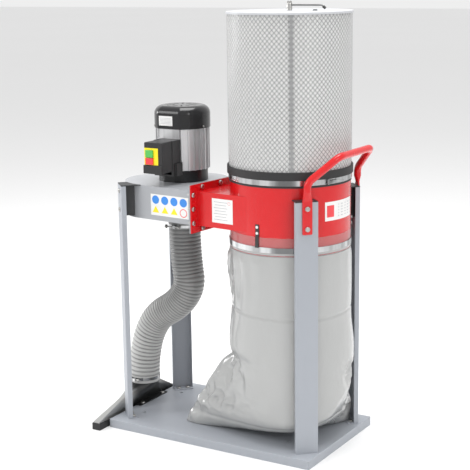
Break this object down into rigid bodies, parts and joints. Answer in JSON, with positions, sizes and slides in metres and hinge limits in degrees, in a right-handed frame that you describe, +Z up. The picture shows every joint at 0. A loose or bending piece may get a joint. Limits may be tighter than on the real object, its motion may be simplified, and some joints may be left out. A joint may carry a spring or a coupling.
{
  "type": "dust collector",
  "caption": "Dust collector: a fan and motor on a legged base feed a drum with a pleated filter cartridge above it and a film collecting bag below it, with a suction hose from a floor nozzle.",
  "frame": {"origin": "on the floor at the centre of the base plate, on the underside of the base stiffener", "axes": "+X towards the push handle, +Y to the back, +Z up"},
  "size_m": [0.8372, 0.472, 1.346],
  "materials": {
    "grey_paint": "satin bluish-grey paint",
    "silver_paint": "satin silver-grey paint",
    "red_paint": "gloss red paint",
    "red_tube_paint": "gloss red paint",
    "black_cowl": "gloss black paint",
    "black_flange": "satin black paint",
    "motor_alloy": "fine cast, silver",
    "bracket_black": "satin black paint",
    "zinc_bolt": "bright zinc plate",
    "steel_strap": "bright rolled steel",
    "nozzle_sheet": "dark satin sheet steel",
    "galvanised": "galvanised sheet",
    "black_rubber": "matte",
    "hose_plastic": "grey ribbed plastic",
    "bag_film": "translucent film",
    "filter_paper": "pleated white medium",
    "filter_steel": "light grey satin",
    "switch_plastic": "fine textured black",
    "yellow_plate": "yellow film",
    "green_cap": "moulded green",
    "red_cap": "moulded red",
    "strap_black": "matte",
    "rivet_white": "white",
    "lamination": "varnished laminations",
    "fan_plastic": "moulded",
    "steel_shaft": "ground steel"
  },
  "bodies": {
    "frame": {"bag_clips": "strap_black", "bag_strap": "steel_strap", "base_plate": "grey_paint", "base_stiffener": "grey_paint", "clamp_screws": "zinc_bolt", "clip_rivets": "rivet_white", "collecting_bag": "bag_film", "cowl_screws": "zinc_bolt", "drum_seal": "black_rubber", "duct_bolts": "zinc_bolt", "duct_gasket": "black_rubber", "fan_cowl": "black_cowl", "fan_housing": "silver_paint", "filter_band": "black_rubber", "filter_bottom_ring": "galvanised", "filter_clamp": "steel_strap", "filter_core": "galvanised", "filter_lid": "filter_steel", "filter_mesh": "filter_steel", "filter_pleats": "filter_paper", "floor_nozzle": "nozzle_sheet", "hose_clamps": "steel_strap", "housing_floor": "silver_paint", "inlet_collar": "silver_paint", "leg_back_left": "grey_paint", "leg_back_right": "grey_paint", "leg_foot_bolts": "zinc_bolt", "leg_front_left": "grey_paint", "leg_front_right": "grey_paint", "leg_spacers": "bracket_black", "leg_top_bolts": "zinc_bolt", "motor_bearings": "steel_shaft", "motor_body": "motor_alloy", "motor_bolts": "zinc_bolt", "motor_end_shield": "motor_alloy", "motor_flange": "black_flange", "nozzle_bolts": "zinc_bolt", "nozzle_lip": "black_rubber", "push_handle": "red_tube_paint", "separator_drum": "red_paint", "stator": "lamination", "suction_hose": "hose_plastic", "switch_case": "switch_plastic", "switch_plate": "yellow_plate", "terminal_box": "switch_plastic"},
    "fan_rotor": {"motor_shaft": "steel_shaft", "rotor": "lamination", "cooling_fan": "fan_plastic", "impeller": "galvanised", "impeller_bolt": "zinc_bolt"},
    "crank": {"crank_hub": "zinc_bolt", "crank_arm": "steel_shaft", "crank_tip": "strap_black", "crank_nut": "zinc_bolt", "paddle_shaft": "steel_shaft", "cleaning_paddles": "galvanised"},
    "start_button": {"green_button": "green_cap"},
    "stop_button": {"red_button": "red_cap"},
    "filter_latch": {"filter_latch_lever": "steel_strap"},
    "bag_latch": {"bag_latch_lever": "steel_strap"}
  },
  "joints": [
    {"name": "fan_spin", "type": "hinge", "parent": "frame", "child": "fan_rotor", "pos_m": [-0.206, 0.014, 0.85], "axis": [0, 0, 1], "continuous": true},
    {"name": "crank_turn", "type": "hinge", "parent": "frame", "child": "crank", "pos_m": [0.187, 0, 1.33], "axis": [0, 0, 1], "continuous": true},
    {"name": "start_press", "type": "slide", "parent": "frame", "child": "start_button", "axis": [0, 1, 0], "range_m": [0, 0.004], "stiffness_N_per_m": 800},
    {"name": "stop_press", "type": "slide", "parent": "frame", "child": "stop_button", "axis": [0, 1, 0], "range_m": [0, 0.004], "stiffness_N_per_m": 800},
    {"name": "filter_latch_swing", "type": "hinge", "parent": "frame", "child": "filter_latch", "pos_m": [0.35737, -0.08309, 0.83575], "axis": [0, 0, 1], "range_deg": [-150, 0]},
    {"name": "bag_latch_swing", "type": "hinge", "parent": "frame", "child": "bag_latch", "pos_m": [0.09792, 0.16754, 0.638], "axis": [0, 0, 1], "range_deg": [-150, 0]}
  ]
}
